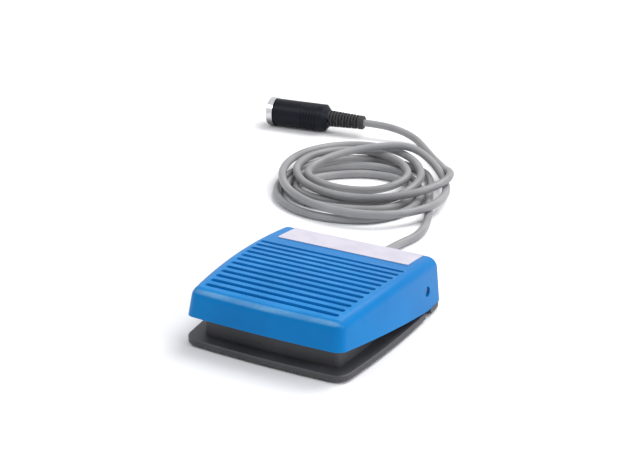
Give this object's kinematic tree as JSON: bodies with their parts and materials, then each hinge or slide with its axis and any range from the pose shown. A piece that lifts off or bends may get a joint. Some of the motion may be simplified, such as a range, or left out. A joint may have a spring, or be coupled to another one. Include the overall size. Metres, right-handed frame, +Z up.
{
  "type": "foot pedal switch",
  "caption": "Foot pedal switch: a ribbed wedge-shaped pedal hinged on a low base, with a snap-action switch inside and a coiled cord that ends in a round plug.",
  "frame": {"origin": "on the floor, under the middle of the pedal and base", "axes": "+X across the pedal, +Y from the raised front edge back to the hinge and the cord, +Z up"},
  "size_m": [0.2285, 0.3269, 0.0311],
  "materials": {
    "pedal_plastic": "satin moulded blue",
    "base_plastic": "fine-grained black",
    "foot_rubber": "matt black",
    "steel": "bright zinc",
    "plate_film": "plain satin white",
    "switch_plastic": "matt black",
    "plunger_plastic": "plain red",
    "brass": "plain brass",
    "cord_sheath": "satin grey",
    "wire_sheath": "plain insulation",
    "plug_plastic": "satin black",
    "plug_metal": "nickel plate"
  },
  "bodies": {
    "base": {"base_housing": "base_plastic", "rubber_feet": "foot_rubber", "hinge_pin_left": "steel", "hinge_pin_right": "steel", "return_springs": "steel", "switch_case": "switch_plastic", "switch_cover": "switch_plastic", "switch_terminals": "brass", "switch_screws": "steel", "lever_pin": "steel", "cord_gland": "foot_rubber", "cord_inner": "cord_sheath", "cord_clamp": "steel", "clamp_screws": "steel", "inner_wires": "wire_sheath", "cord_lead": "cord_sheath", "cord_coil": "cord_sheath", "plug_lead": "cord_sheath", "plug_boot": "foot_rubber", "plug_barrel": "plug_plastic", "plug_shell": "plug_metal", "plug_insert": "base_plastic", "plug_contacts": "brass"},
    "pedal": {"pedal_shell": "pedal_plastic", "label_plate": "plate_film"},
    "lever": {"switch_lever": "steel"},
    "plunger": {"switch_plunger": "plunger_plastic"}
  },
  "joints": [
    {"name": "pedal_hinge", "type": "hinge", "parent": "base", "child": "pedal", "pos_m": [0, 0.0339, 0.0147], "axis": [1, 0, 0], "range_deg": [0, 8], "stiffness_Nm_per_rad": 3, "springref_deg": -11.97, "deforming": ["return_springs"]},
    {"name": "switch_lever_hinge", "type": "hinge", "parent": "base", "child": "lever", "pos_m": [0, 0.0164, 0.0211], "axis": [1, 0, 0], "range_deg": [0, 19]},
    {"name": "plunger_slide", "type": "slide", "parent": "base", "child": "plunger", "axis": [0, 0, -1], "range_m": [0, 0.001]}
  ],
  "couplings": [
    {"joint": "switch_lever_hinge", "follows": "pedal_hinge", "ratio": 2.31},
    {"joint": "plunger_slide", "follows": "pedal_hinge", "m_per_rad": 0.0068}
  ]
}
